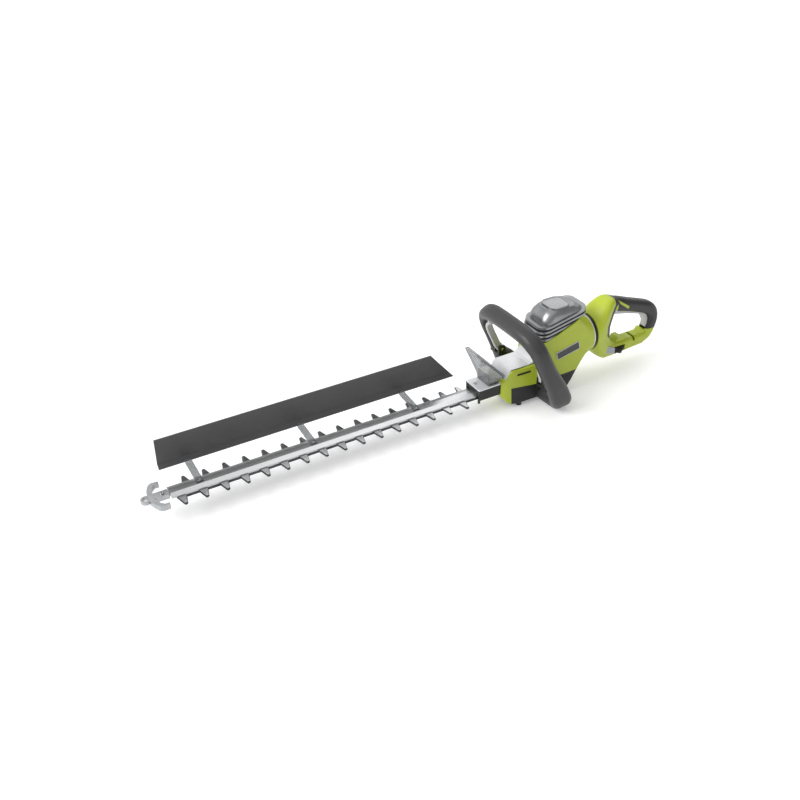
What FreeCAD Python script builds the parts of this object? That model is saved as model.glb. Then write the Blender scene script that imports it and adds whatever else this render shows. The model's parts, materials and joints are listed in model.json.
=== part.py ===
"""Corded hedge trimmer: a long double-sided blade, a motor under a ribbed cap and a swivelling rear handle.

Millimetres. +X runs along the blade to its tip, +Y is the operator's left and +Z is up.
The model is laid out about the first left tooth (X = 0) and the plane between the two blades (Z = 0).
Each node is moved at the end, so that the origin is under the middle of the whole object, on the floor.
"""
import FreeCAD, Part
import math
import os

V = FreeCAD.Vector

# where the layout's zero ends up in the row frame
ORIGIN_X = 70.0
FLOOR_Z = -45.0

# blades and bar
TOOTH_PITCH = 40.0
TEETH_PER_SIDE = 16
TOOTH_TIP_Y = 40.5
TOOTH_ROOT_WIDTH = 20.0
TOOTH_TIP_WIDTH = 6.0
BLADE_THICKNESS = 2.4
BLADE_HALF_WIDTH = 18.5
BLADE_FRONT_X = 604.0
BLADE_GAP = 0.3
STROKE = 8.0
BAR_HALF_WIDTH = 17.5
BAR_FRONT_X = 618.0
BAR_REAR_X = -103.0
BAR_LOW_Z = BLADE_THICKNESS + BLADE_GAP
BAR_TOP_Z = 8.0
BAR_SCREW_XS = (70.0, 190.0, 310.0, 430.0, 550.0)
BUSH_RADIUS = 3.8

# drive train, vertical shafts in a row
CRANK_X = -158.0
STAGE_1 = (1.0, 14, 58)
STAGE_2 = (1.25, 18, 42)
IDLER_X = CRANK_X - STAGE_2[0] * (STAGE_2[1] + STAGE_2[2]) / 2
MOTOR_X = IDLER_X - STAGE_1[0] * (STAGE_1[1] + STAGE_1[2]) / 2
CAM_RADIUS = 13.5
SHAFT_RADIUS = 4.0
RUNNING_GAP = 0.05
BEARING_RADIUS = 11.0
BEARING_HEIGHT = 7.0
IDLER_BEARING_RADIUS = 8.0
CASE_HALF_WIDTH = 27.4
CASE_WALL = 2.2
TRAY_FLOOR_Z = -22.0
GEAR_PLATE_Z = (4.0, 9.0)
BEARING_PLATE_Z = (29.0, 36.0)
CASE_FRONT_X = -102.0
CASE_REAR_X = -238.0
COVER_SCREWS_AT = ((-141.0, -24.0), (-141.0, 24.0), (-155.0, -24.0), (-155.0, 24.0))
PILLARS_AT = ((-131.5, -24.0), (-131.5, 24.0), (-229.0, -23.5), (-229.0, 23.5))

# housing
SHELL_WALL = 2.8
SWIVEL_Z = 67.0
SWIVEL_RADIUS = 42.0
SWIVEL_X = -320.0
CAP_SLOPE_DEG = 21.4
CAP_FRONT_X = -186.0
CAP_FRONT_Z = 96.0

# rear handle
HANDLE_FRONT_X = -331.0
HANDLE_WALL = 3.0
TRIGGER_PIN_AT = (-400.0, 103.5)

# switch bail
BAIL_PIVOT = (-160.0, 36.0)
BAIL_SIDES = (-80.0, 75.0)

PLANES = {
    "x": lambda u, v, at: V(at, u, v),
    "y": lambda u, v, at: V(u, at, v),
    "z": lambda u, v, at: V(u, v, at),
}
AXES = {"x": V(1, 0, 0), "y": V(0, 1, 0), "z": V(0, 0, 1)}


# ---------------------------------------------------------------- building blocks


def round_corner(before, here, after, radius):
    """The start, middle and end of the arc that rounds one corner of an outline."""
    to_before = (before - here).normalize()
    to_after = (after - here).normalize()
    half_angle = to_before.getAngle(to_after) / 2
    bisector = (to_before + to_after).normalize()
    reach = radius / math.tan(half_angle)
    centre = here + bisector * (radius / math.sin(half_angle))
    return here + to_before * reach, centre - bisector * radius, here + to_after * reach


def outline(corners, place):
    """A closed wire through (u, v, corner radius) points, where place turns u, v into space."""
    count = len(corners)
    flat = [V(u, v, 0) for u, v, _ in corners]
    spans = []
    for i, (_, _, radius) in enumerate(corners):
        if radius > 0:
            spans.append(round_corner(flat[i - 1], flat[i], flat[(i + 1) % count], radius))
        else:
            spans.append((flat[i], None, flat[i]))
    edges = []
    for i, (start, middle, end) in enumerate(spans):
        if middle is not None:
            arc = [place(point.x, point.y) for point in (start, middle, end)]
            edges.append(Part.Arc(*arc).toShape())
        following = spans[(i + 1) % count][0]
        if (following - end).Length > 1e-4:
            edges.append(Part.makeLine(place(end.x, end.y), place(following.x, following.y)))
    return Part.Wire(edges)


def prism(corners, axis, low, high):
    """An outline of (u, v, radius) points, pushed along an axis from low to high."""
    wire = outline(corners, lambda u, v: PLANES[axis](u, v, low))
    return Part.Face(wire).extrude(AXES[axis] * (high - low))


def rectangle(u_low, u_high, v_low, v_high, radius=0.0):
    return [
        (u_low, v_low, radius),
        (u_high, v_low, radius),
        (u_high, v_high, radius),
        (u_low, v_high, radius),
    ]


def box(x_low, x_high, y_low, y_high, z_low, z_high):
    return Part.makeBox(x_high - x_low, y_high - y_low, z_high - z_low, V(x_low, y_low, z_low))


def cylinder(radius, start, direction, length):
    return Part.makeCylinder(radius, length, start, direction)


def post(radius, x, y, z_low, z_high):
    """An upright round bar."""
    return cylinder(radius, V(x, y, z_low), V(0, 0, 1), z_high - z_low)


def section(centre, across, up, width, height, radius):
    """A rounded rectangle in space, for lofts."""
    corners = rectangle(-width / 2, width / 2, -height / 2, height / 2, radius)
    return outline(corners, lambda u, v: centre + across * u + up * v)


def loft(sections, ruled=False):
    return Part.makeLoft(sections, True, ruled)


def eased(a, b, c, d, t):
    """Catmull-Rom value between b and c."""
    return 0.5 * (2 * b + (c - a) * t + (2 * a - 5 * b + 4 * c - d) * t * t + (3 * b - a - 3 * c + d) * t ** 3)


def finer(stations, steps):
    """More stations on a smooth curve through the given ones."""
    result = []
    last = len(stations) - 1
    for i in range(last):
        around = (stations[max(i - 1, 0)], stations[i], stations[i + 1], stations[min(i + 2, last)])
        for step in range(steps):
            t = step / steps
            result.append(tuple(eased(*values, t) for values in zip(*around)))
    return result + [tuple(stations[last])]


def joined(shapes):
    """One solid out of overlapping ones."""
    first = shapes[0]
    whole = first.fuse(shapes[1:]) if len(shapes) > 1 else first
    return whole.removeSplitter()


def mirrored(shape):
    """The same shape on the other side of the middle plane."""
    return shape.mirror(V(0, 0, 0), V(0, 1, 0))


def both_sides(shape):
    return [shape, mirrored(shape)]


def screw(head_at, direction, length, radius, head_radius, head_height):
    """A pan head screw: head_at is the underside of the head, direction points along the shank."""
    shank = cylinder(radius, head_at, direction, length)
    head = cylinder(head_radius, head_at, direction * -1, head_height)
    recess_depth = head_height * 0.55
    start = head_at - direction * head_height
    recess = cylinder(head_radius * 0.45, start, direction, recess_depth)
    return shank.fuse(head).cut(recess)


def half_space(point, normal, size=900.0):
    """A big block on the side of a plane that the normal points to."""
    block = Part.makeBox(size, size, size, V(-size / 2, -size / 2, 0))
    block.Placement = FreeCAD.Placement(point, FreeCAD.Rotation(V(0, 0, 1), normal))
    return block


# ---------------------------------------------------------------- cutting unit


def tooth(tip_x, side, z_low, z_high, grind):
    """One cutting tooth with ground flanks: narrower at the top by the grind."""
    root_y = BLADE_HALF_WIDTH - 4.0

    def ring(z, inset):
        half_root = TOOTH_ROOT_WIDTH / 2 - inset
        half_tip = TOOTH_TIP_WIDTH / 2 - inset * 0.6
        tip_y = TOOTH_TIP_Y - inset
        corners = [
            (tip_x - half_root, side * root_y, 0),
            (tip_x + half_root, side * root_y, 0),
            (tip_x + half_tip, side * tip_y, half_tip * 0.8),
            (tip_x - half_tip, side * tip_y, half_tip * 0.8),
        ]
        return outline(corners, lambda u, v: V(u, v, z))

    return loft([ring(z_low, 0.0 if grind > 0 else -grind), ring(z_high, max(grind, 0.0))], True)


def slot(x, z_low, z_high):
    """The lengthwise hole that a bar bush runs in."""
    half_width = BUSH_RADIUS + 0.4
    half_length = half_width + STROKE + 0.6
    corners = rectangle(x - half_length, x + half_length, -half_width, half_width, half_width - 0.01)
    return prism(corners, "z", z_low - 1, z_high + 1)


def blade(z_low, grind):
    """A reciprocating blade: toothed spine and a yoke window round the crank cams."""
    z_high = z_low + BLADE_THICKNESS
    spine = box(-118.0, BLADE_FRONT_X, -BLADE_HALF_WIDTH, BLADE_HALF_WIDTH, z_low, z_high)
    yoke_half_length = CAM_RADIUS + 2 * STROKE + 6.5
    yoke = prism(
        [
            (CRANK_X - yoke_half_length, -26.0, 8),
            (-127.0, -26.0, 6),
            (-115.0, -BLADE_HALF_WIDTH, 0),
            (-115.0, BLADE_HALF_WIDTH, 0),
            (-127.0, 26.0, 6),
            (CRANK_X - yoke_half_length, 26.0, 8),
        ],
        "z",
        z_low,
        z_high,
    )
    teeth = []
    for i in range(TEETH_PER_SIDE):
        teeth.append(tooth(TOOTH_PITCH * i, 1, z_low, z_high, grind))
        teeth.append(tooth(TOOTH_PITCH * (i - 0.5), -1, z_low, z_high, grind))
    whole = joined([spine, yoke] + teeth)
    window_x = CAM_RADIUS + 2 * STROKE + 0.8
    window_y = CAM_RADIUS + STROKE + 0.3
    window = prism(
        rectangle(CRANK_X - window_x, CRANK_X + window_x, -window_y, window_y, 6),
        "z",
        z_low - 1,
        z_high + 1,
    )
    return whole.cut([window] + [slot(x, z_low, z_high) for x in BAR_SCREW_XS])


def blade_bar():
    """The backing bar: a shallow folded channel over the blades, with a nose for the tip protector."""
    half = BAR_HALF_WIDTH
    wall = 2.2
    profile = [
        (-half, BAR_LOW_Z, 0),
        (-half, 5.2, 1.0),
        (-6.5, BAR_TOP_Z, 4),
        (6.5, BAR_TOP_Z, 4),
        (half, 5.2, 1.0),
        (half, BAR_LOW_Z, 0),
    ]
    rail = prism(profile, "x", BAR_REAR_X, BAR_FRONT_X)
    hollow = prism(
        [
            (-half + 6, BAR_LOW_Z, 0),
            (-half + 7, BAR_LOW_Z + 1.2, 0),
            (-6, BAR_TOP_Z - wall, 0),
            (6, BAR_TOP_Z - wall, 0),
            (half - 7, BAR_LOW_Z + 1.2, 0),
            (half - 6, BAR_LOW_Z, 0),
        ],
        "x",
        BAR_REAR_X,
        BAR_FRONT_X - 14,
    )
    pads = [post(7.0, x, 0, BAR_LOW_Z, BAR_TOP_Z - wall) for x in BAR_SCREW_XS]
    nose = box(BAR_FRONT_X - 10, BAR_FRONT_X + 22, -7, 7, BAR_LOW_Z, BAR_LOW_Z + 2.8)
    return joined([rail.cut(hollow), nose] + pads)


def bar_screws():
    """Screws from below, through the bushes and into the bar."""
    head_z = -BLADE_THICKNESS - 2 * BLADE_GAP - 1.6
    return [screw(V(x, 0, head_z), V(0, 0, 1), 9.6, 2.5, 5.0, 3.2) for x in BAR_SCREW_XS]


def bar_bushes():
    """Flanged bushes: the collar runs in the blade slots and the flange carries the lower blade."""
    flange_z = -BLADE_THICKNESS - 2 * BLADE_GAP
    bushes = []
    for x in BAR_SCREW_XS:
        collar = post(BUSH_RADIUS, x, 0, flange_z, BAR_LOW_Z)
        flange = post(8.5, x, 0, flange_z - 1.6, flange_z)
        bushes.append(collar.fuse(flange))
    return bushes


def tip_protector():
    """Cast anchor-shaped bow at the blade tip, with a loop to hang the tool from."""
    low, high = -1.5, 9.5
    shank = prism(rectangle(BAR_FRONT_X + 1.0, 652, -8.5, 8.5, 2.5), "z", low, high - 1)
    bow = post(60, 597, 0, low, high).cut(post(51, 597, 0, low - 1, high + 1))
    bow = bow.common(box(634, 680, -36, 36, low, high))
    hooks = []
    for side in (1, -1):
        hook = prism(
            [
                (642, side * 29, 0),
                (647, side * 33, 3),
                (640, side * 38, 3),
                (627, side * 37, 3),
                (627, side * 31.5, 2),
                (636, side * 31.5, 2),
                (638, side * 28, 0),
            ],
            "z",
            low,
            high,
        )
        hooks.append(hook)
    loop = post(10.0, 661.0, 0, low + 2, high - 2)
    web = box(644, 661, -9.0, 9.0, low + 2, high - 2)
    whole = joined([shank, bow, loop, web] + hooks)
    socket = box(BAR_FRONT_X, BAR_FRONT_X + 22.3, -7.2, 7.2, BAR_LOW_Z - 0.02, BAR_LOW_Z + 2.82)
    hang_hole = post(5.2, 662.0, 0, low - 1, high + 1)
    return whole.cut([socket, hang_hole])


def tip_screw():
    return screw(V(631, 0, 8.5), V(0, 0, -1), 9.0, 2.0, 4.2, 2.4)


def sweep_plate():
    """Folded plastic plate beside the right teeth, which pushes clippings off the hedge."""
    sheet = [
        (-59.2, 15.2, 0),
        (-66.6, 23.4, 3),
        (-62.0, 80.2, 0),
        (-64.4, 80.4, 0),
        (-69.2, 22.6, 4),
        (-61.2, 13.8, 0),
    ]
    plate = prism(sheet, "x", -32.0, 616.0)
    corner = prism([(-40, 10, 0), (-32, 10, 0), (31, 84, 0), (-40, 84, 0)], "y", -75, -50)
    return plate.cut(corner)


def sweep_clips():
    """Slim arms from the bar over the right teeth to the sweep plate's lip."""
    clips = []
    arm = [
        (3.0, BAR_TOP_Z, 0),
        (3.0, BAR_TOP_Z + 2.2, 0),
        (-20.0, BAR_TOP_Z + 4.2, 4),
        (-55.0, 15.4, 4),
        (-60.4, 20.4, 0),
        (-62.2, 18.6, 0),
        (-59.0, 15.0, 0),
        (-56.0, 13.0, 3),
        (-20.0, BAR_TOP_Z + 2.0, 4),
        (-6.0, BAR_TOP_Z, 0),
    ]
    for x in (100.0, 330.0, 560.0):
        clips.append(prism(arm, "x", x - 7, x + 7))
    return clips


def sweep_screws():
    top = BAR_TOP_Z + 2.1
    return [screw(V(x, -1.0, top), V(0, 0, -1), 3.6, 1.6, 3.2, 1.5) for x in (100.0, 330.0, 560.0)]


# ---------------------------------------------------------------- blade clamp and guard


def blade_bracket():
    """Black casting that straddles the bar in front of the gear case, with two ears beside the blades."""
    block = prism(rectangle(-24, 24, -6, 19, 2), "x", -100.6, -38)
    ears = both_sides(prism([(19.6, -12, 1.5), (24, -12, 1.5), (26, 19, 2), (19.6, 19, 0)], "x", -40.5, -37))
    tunnel = box(-110, -30, -19.2, 19.2, -13, BAR_TOP_Z)
    return joined([block] + ears).cut(tunnel)


def bracket_plate():
    """Bright clamp plate on top of the holder."""
    corners = [(-92, -22, 2), (-36, -24, 4), (-36, 25, 4), (-92, 24, 2)]
    plate = prism(corners, "z", 19, 22)
    rib = prism(rectangle(-88, -67, -8, 8, 3), "z", 21, 23)
    return plate.fuse(rib).removeSplitter()


def bracket_screws():
    """The front clamp screw and the four that also hold the guard's foot."""
    screws = [screw(V(-43.5, -2, 22), V(0, 0, -1), 11, 2.2, 3.6, 1.6)]
    for x in (-72.0, -84.0):
        for y in (-14.0, 14.0):
            screws.append(screw(V(x, y, 25.5), V(0, 0, -1), 13, 2.0, 3.4, 1.8))
    return screws


def hand_guard():
    """Clear shield across the tool: two wings with a thick rim, on a foot screwed to the clamp plate."""
    shield = [
        (-20, 22, 0),
        (-24, 34, 8),
        (-68, 66.5, 2),
        (-67, 72, 2),
        (67, 72, 2),
        (68, 66.5, 2),
        (24, 34, 8),
        (20, 22, 0),
    ]
    panel = prism(shield, "x", -64.5, -61.5)
    rim = prism(rectangle(-67, 67, 68.5, 72.5, 1.2), "x", -67.5, -60)
    edge_bar = [(-67, 67, 0), (-66, 70.5, 0), (-23, 38.5, 0), (-24, 34.5, 0)]
    edges = both_sides(prism(edge_bar, "x", -66, -61.5))
    foot = prism(rectangle(-89, -62, -20, 20, 2), "z", 22, 25.5)
    window = box(-89.5, -66, -8.6, 8.6, 21, 27)
    gussets = [
        prism([(-64.4, 25, 0), (-64.4, 46, 0), (-84, 25, 0)], "y", y - 1.3, y + 1.3) for y in (-18.4, 18.4)
    ]
    return joined([panel, rim, foot.cut(window)] + edges + gussets)


# ---------------------------------------------------------------- drive


def gear_outline(module, teeth, phase_deg, place):
    """An involute gear outline as straight facets, thinned a little for backlash."""
    pitch_radius = module * teeth / 2
    base_radius = pitch_radius * math.cos(math.radians(20))
    tip_radius = pitch_radius + module * 0.95
    root_radius = pitch_radius - module * 1.25
    backlash = 0.12

    def involute(radius):
        alpha = math.acos(min(1.0, base_radius / radius))
        return math.tan(alpha) - alpha

    half_pitch_angle = math.pi / teeth / 2 - backlash / pitch_radius / 2
    points = []
    for i in range(teeth):
        middle = math.radians(phase_deg) + 2 * math.pi * i / teeth
        flank = []
        start = max(base_radius, root_radius)
        for step in range(4):
            radius = start + (tip_radius - start) * step / 3
            angle = half_pitch_angle + involute(pitch_radius) - involute(radius)
            flank.append((radius, angle))
        root_angle = flank[0][1]
        side = [(root_radius, root_angle)] + flank
        for radius, angle in side:
            points.append((radius, middle - angle))
        for radius, angle in reversed(side):
            points.append((radius, middle + angle))
    spots = [place(radius * math.cos(angle), radius * math.sin(angle)) for radius, angle in points]
    tidy = [spot for i, spot in enumerate(spots) if (spot - spots[i - 1]).Length > 1e-4]
    return Part.makePolygon(tidy + [tidy[0]])


def spur_gear(module, teeth, x, z_low, z_high, phase_deg):
    wire = gear_outline(module, teeth, phase_deg, lambda u, v: V(x + u, v, z_low))
    return Part.Face(wire).extrude(V(0, 0, z_high - z_low))


def mesh_phase(teeth, angle_deg):
    """The phase that puts a tooth gap at an angle."""
    return angle_deg + 180.0 / teeth


def case_plan(half, front, rear):
    """Plan outline of the case: straight sides that close in towards the blade's mouth."""
    return [
        (rear, -half, 5),
        (front - 12, -half, 6),
        (front, -half + 7, 2),
        (front, half - 7, 2),
        (front - 12, half, 6),
        (rear, half, 5),
    ]


def gear_case():
    """Cast tray under the blades' yokes, with the crank's lower bearing seat."""
    outer = CASE_HALF_WIDTH + CASE_WALL
    tray = prism(case_plan(outer, CASE_FRONT_X, CASE_REAR_X), "z", TRAY_FLOOR_Z, GEAR_PLATE_Z[1])
    inner_plan = case_plan(CASE_HALF_WIDTH, CASE_FRONT_X - CASE_WALL, CASE_REAR_X + CASE_WALL)
    hollow = prism(inner_plan, "z", TRAY_FLOOR_Z + 4, 30)
    boss = post(BEARING_RADIUS + 4, CRANK_X, 0, TRAY_FLOOR_Z + 3.9, -10)
    ledges = [
        box(CASE_REAR_X + 1, -122, side * CASE_HALF_WIDTH - 0.6, side * CASE_HALF_WIDTH + 0.6, 3.0, 4.0)
        for side in (1, -1)
    ]
    whole = joined([tray.cut(hollow), boss] + ledges)
    mouth = box(CASE_FRONT_X - 6, CASE_FRONT_X + 1, -19.4, 19.4, -4.5, 20)
    seat = post(BEARING_RADIUS, CRANK_X, 0, -17, -9)
    return whole.cut([mouth, seat, post(3.2, CRANK_X, 0, -30, 0)])


def gear_plate():
    """Middle plate on the tray, with the idler's lower bearing seat and the pillars of the upper plate."""
    z_low, z_high = GEAR_PLATE_Z
    plan = case_plan(CASE_HALF_WIDTH, CASE_FRONT_X - CASE_WALL, CASE_REAR_X + CASE_WALL)
    plate = prism(plan, "z", z_low, z_high)
    pillars = [post(3.6, x, y, z_high - 1, BEARING_PLATE_Z[0]) for x, y in PILLARS_AT]
    openings = [post(16, CRANK_X, 0, 0, 12), post(IDLER_BEARING_RADIUS, IDLER_X, 0, z_low, 12)]
    return joined([plate] + pillars).cut(openings)


def bearing_plate():
    """Upper plate with seats for the crank, idler and lower motor bearings."""
    z_low, z_high = BEARING_PLATE_Z
    corners = [(-250, -20, 10), (-232, -29, 6), (-127, -29, 6), (-127, 29, 6), (-232, 29, 6), (-250, 20, 10)]
    plate = prism(corners, "z", z_low, z_high)
    seats = [
        post(BEARING_RADIUS, CRANK_X, 0, z_low - 1, z_high + 1),
        post(IDLER_BEARING_RADIUS, IDLER_X, 0, z_low - 1, z_low + 5),
        post(SHAFT_RADIUS + 1, IDLER_X, 0, z_low, z_high + 1),
        post(BEARING_RADIUS, MOTOR_X, 0, z_low - 1, z_high + 1),
    ]
    return plate.cut(seats)


def case_screws():
    """Four screws through the upper plate into the pillars."""
    top = BEARING_PLATE_Z[1]
    return [screw(V(x, y, top), V(0, 0, -1), 18, 1.5, 3.2, 2.0) for x, y in PILLARS_AT]


def crank_gear():
    module, _, teeth = STAGE_2
    gear = spur_gear(module, teeth, CRANK_X, 10.6, 18.0, mesh_phase(teeth, 180.0))
    hub = post(9, CRANK_X, 0, 3.2, 20.2)
    holes = [
        post(4.2, CRANK_X + 17 * math.cos(a), 17 * math.sin(a), 9, 20)
        for a in [math.pi / 3 * i for i in range(6)]
    ]
    return gear.fuse(hub).cut(holes + [post(SHAFT_RADIUS, CRANK_X, 0, 0, 30)])


def crank_shaft():
    shaft = post(SHAFT_RADIUS, CRANK_X, 0, -16.9, 35.9)
    flat = box(CRANK_X + 3.2, CRANK_X + 5, -5, 5, 24.5, 28.5)
    return shaft.cut(flat)


def crank_cams():
    """Two eccentric discs, half a turn apart, one in each blade's yoke."""
    cams = []
    for side, z_low in ((1, 0.0), (-1, -BLADE_THICKNESS - BLADE_GAP)):
        disc = post(CAM_RADIUS, CRANK_X + side * STROKE, 0, z_low + 0.05, z_low + BLADE_THICKNESS)
        cams.append(disc.cut(post(SHAFT_RADIUS, CRANK_X, 0, z_low - 1, z_low + 4)))
    return cams


def idler_gear():
    """Compound gear: the big wheel takes the motor pinion and the small one drives the crank gear."""
    wheel = spur_gear(STAGE_1[0], STAGE_1[2], IDLER_X, 21.0, 26.5, mesh_phase(STAGE_1[2], 180.0))
    small = spur_gear(STAGE_2[0], STAGE_2[1], IDLER_X, 10.6, 21.0, 0.0)
    rim_cut = post(25, IDLER_X, 0, 24.5, 27).cut(post(11, IDLER_X, 0, 24, 28))
    return wheel.fuse(small).cut([rim_cut, post(SHAFT_RADIUS, IDLER_X, 0, 5, 30)])


def idler_shaft():
    return post(SHAFT_RADIUS, IDLER_X, 0, 4.2, 33.8)


def rotor_shaft():
    """Motor shaft with its pinion cut on the end."""
    pinion = spur_gear(STAGE_1[0], STAGE_1[1], MOTOR_X, 20.5, 28.0, 0.0)
    return post(SHAFT_RADIUS, MOTOR_X, 0, 28.0, 146.9).fuse(pinion)


def armature():
    """Laminated stack with twelve winding slots, and the winding heads at its ends."""
    stack = post(21, MOTOR_X, 0, 64, 106)
    slots = []
    for i in range(12):
        angle = math.pi / 6 * i
        slots.append(post(1.6, MOTOR_X + 19 * math.cos(angle), 19 * math.sin(angle), 63, 107))
    heads = [post(16.5, MOTOR_X, 0, 57, 64), post(16.5, MOTOR_X, 0, 106, 113)]
    return joined([stack.cut(slots)] + heads).cut(post(SHAFT_RADIUS, MOTOR_X, 0, 50, 120))


def commutator():
    drum = post(11, MOTOR_X, 0, 114.5, 132)
    cuts = [
        box(MOTOR_X - 0.3, MOTOR_X + 0.3, 10.2, 12, 114, 133).rotate(
            V(MOTOR_X, 0, 0), V(0, 0, 1), 30.0 * i
        )
        for i in range(12)
    ]
    return drum.cut(cuts + [post(SHAFT_RADIUS, MOTOR_X, 0, 110, 135)])


def cooling_fan():
    hub = post(9, MOTOR_X, 0, 40.5, 53)
    disc = post(29, MOTOR_X, 0, 40.5, 42.5)
    blades = []
    for i in range(9):
        vane = box(MOTOR_X + 8, MOTOR_X + 28, -0.8, 0.8, 42, 52)
        blades.append(vane.rotate(V(MOTOR_X, 0, 0), V(0, 0, 1), 40.0 * i))
    return joined([hub, disc] + blades).cut(post(SHAFT_RADIUS, MOTOR_X, 0, 30, 60))


def bearing(x, z_low, radius, height):
    ring = post(radius, x, 0, z_low, z_low + height)
    groove = post(radius - 1.6, x, 0, z_low + height - 0.5, z_low + height).cut(
        post(SHAFT_RADIUS + 1.6, x, 0, z_low, z_low + height)
    )
    return ring.cut([groove, post(SHAFT_RADIUS + RUNNING_GAP, x, 0, z_low - 1, z_low + height + 1)])


def ball_bearings():
    """The crank's and the motor's four equal bearings."""
    places = [(CRANK_X, -17.0), (CRANK_X, 29.0), (MOTOR_X, 29.0), (MOTOR_X, 139.0)]
    return [bearing(x, z, BEARING_RADIUS, BEARING_HEIGHT) for x, z in places]


def idler_bearings():
    return [bearing(IDLER_X, z, IDLER_BEARING_RADIUS, 5.0) for z in (4.0, 29.0)]


def stator():
    """Field stack with two coils."""
    stack = post(33, MOTOR_X, 0, 62, 108).common(box(MOTOR_X - 40, MOTOR_X + 40, -30, 30, 60, 110))
    coils = [post(30.5, MOTOR_X, 0, 57, 62), post(30.5, MOTOR_X, 0, 108, 113)]
    bore = post(21.6, MOTOR_X, 0, 50, 120)
    return joined([stack] + coils).cut(bore)


def brush_bridge():
    """Moulded bridge over the commutator, with the upper bearing's seat and two brush sleeves."""
    sleeve = box(MOTOR_X - 5, MOTOR_X + 5, 12.6, 22.4, 118, 129)
    sleeve = sleeve.cut(box(MOTOR_X - 3.2, MOTOR_X + 3.2, 12, 22.2, 120, 127))
    deck = post(27, MOTOR_X, 0, 134.5, 147)
    bowl = post(24, MOTOR_X, 0, 134, 136.5)
    legs = [box(MOTOR_X - 5, MOTOR_X + 5, y - 2, y + 2, 113, 136) for y in (-24, 24)]
    cuts = [bowl, post(BEARING_RADIUS, MOTOR_X, 0, 139, 147.5), post(SHAFT_RADIUS + 2, MOTOR_X, 0, 130, 140)]
    return joined([deck.cut(cuts), sleeve, mirrored(sleeve)] + legs)


def carbon_brushes():
    brush = box(MOTOR_X - 3.1, MOTOR_X + 3.1, 11.6, 21.5, 120.1, 126.9)
    return both_sides(brush)


# ---------------------------------------------------------------- housing


# gear end of the housing: x, half width, low z, high z, corner radius
GEAR_END = [
    (-91.0, 25.5, -7.0, 20.0, 5.0),
    (-96.0, 28.5, -15.0, 27.0, 5.0),
    (-103.0, 31.0, -25.0, 37.0, 5.0),
    (-112.0, 33.0, -33.5, 49.0, 5.0),
    (-124.0, 33.6, -37.0, 49.0, 5.0),
    (-140.0, 34.0, -38.0, 49.0, 5.0),
    (-176.0, 35.0, -38.0, 49.5, 5.0),
    (-204.0, 37.0, -38.0, 49.5, 5.0),
]
# motor end of the housing
MOTOR_END = [
    (-172.0, 34.5, -38.0, 60.0, 12.0),
    (-186.0, 38.5, -38.5, 112.0, 13.0),
    (-212.0, 41.0, -39.0, 130.0, 14.0),
    (-240.0, 42.0, -39.0, 140.0, 16.0),
    (-258.0, 42.0, -37.0, 144.0, 18.0),
    (-272.0, 42.0, -19.0, 142.0, 24.0),
    (-288.0, 42.0, 2.0, 130.0, 32.0),
    (-304.0, 42.0, 18.0, 118.0, 39.0),
    (SWIVEL_X, SWIVEL_RADIUS, SWIVEL_Z - SWIVEL_RADIUS, SWIVEL_Z + SWIVEL_RADIUS, SWIVEL_RADIUS - 0.1),
]


def housing_loft(stations, inset):
    wires = []
    for x, half, low, high, radius in finer(stations, 2):
        centre = V(x, 0, (low + high) / 2)
        width = 2 * (half - inset)
        height = high - low - 2 * inset
        limit = min(width, height) / 2 - 0.05
        wires.append(section(centre, V(0, 1, 0), V(0, 0, 1), width, height, min(radius, limit)))
    return loft(wires, True)


def above_slope(x, z, slope_deg):
    """Everything above a plane that rises towards the rear."""
    slope = math.radians(slope_deg)
    return half_space(V(x, 0, z), V(math.sin(slope), 0, math.cos(slope)))


def above_cap_plane():
    return above_slope(CAP_FRONT_X, CAP_FRONT_Z, CAP_SLOPE_DEG)


def below_belt():
    """The space of the black lower housing: below the waist line of the sides."""
    waist = [
        (-112, 7, 0),
        (-163, 1, 0),
        (-203, -2, 12),
        (-232, 7.5, 8),
        (-282, 9, 0),
        (-340, 9, 0),
        (-340, -60, 0),
        (-117, -60, 0),
    ]
    return prism(waist, "y", -60, 60)


def housing_outer():
    whole = joined([housing_loft(GEAR_END, 0.0), housing_loft(MOTOR_END, 0.0)])
    return whole.cut(above_cap_plane())


def housing_inner():
    gear_end = [(x - (2.6 if i == 0 else 0), *rest) for i, (x, *rest) in enumerate(GEAR_END)]
    motor_end = [(x - (2.6 if i == 0 else 0), *rest) for i, (x, *rest) in enumerate(MOTOR_END)]
    wide = [housing_loft(gear_end, SHELL_WALL), housing_loft(motor_end, SHELL_WALL)]
    return joined(wide)


def cover_space():
    """The space of the bright gear cover: the lid over the gears and the fairing up to the cap."""
    profile = [
        (-98.0, 30.0, 0),
        (-110.5, 50.5, 3),
        (-160.0, 50.5, 14),
        (-177.0, 66.0, 14),
        (-188.0, 104.0, 0),
        (-193.0, 102.0, 0),
        (-181.5, 64.0, 11),
        (-163.0, 46.5, 11),
        (-112.0, 46.5, 3),
        (-101.5, 29.0, 0),
    ]
    return prism(profile, "y", -29.0, 29.0)


def gear_cover():
    """Bright lid with its fairing, and bosses that stand on the bearing plate."""
    bosses = [post(4.0, x, y, BEARING_PLATE_Z[1], 47.0) for x, y in COVER_SCREWS_AT]
    return joined([cover_space()] + bosses).cut(above_cap_plane())


def cover_gasket():
    """Thin dark seal round the gear cover's lid."""
    outer = prism(rectangle(-174, -110, -30.4, 30.4, 3), "z", 47.6, 49.3)
    inner = prism(rectangle(-180, -100, -29.0, 29.0, 0.5), "z", 47, 50)
    return outer.cut(inner)


def cover_screws():
    """Screws from below, through the bearing plate into the cover's bosses."""
    low = BEARING_PLATE_Z[0]
    return [screw(V(x, y, low), V(0, 0, 1), 14, 1.5, 3.0, 1.8) for x, y in COVER_SCREWS_AT]


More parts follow.
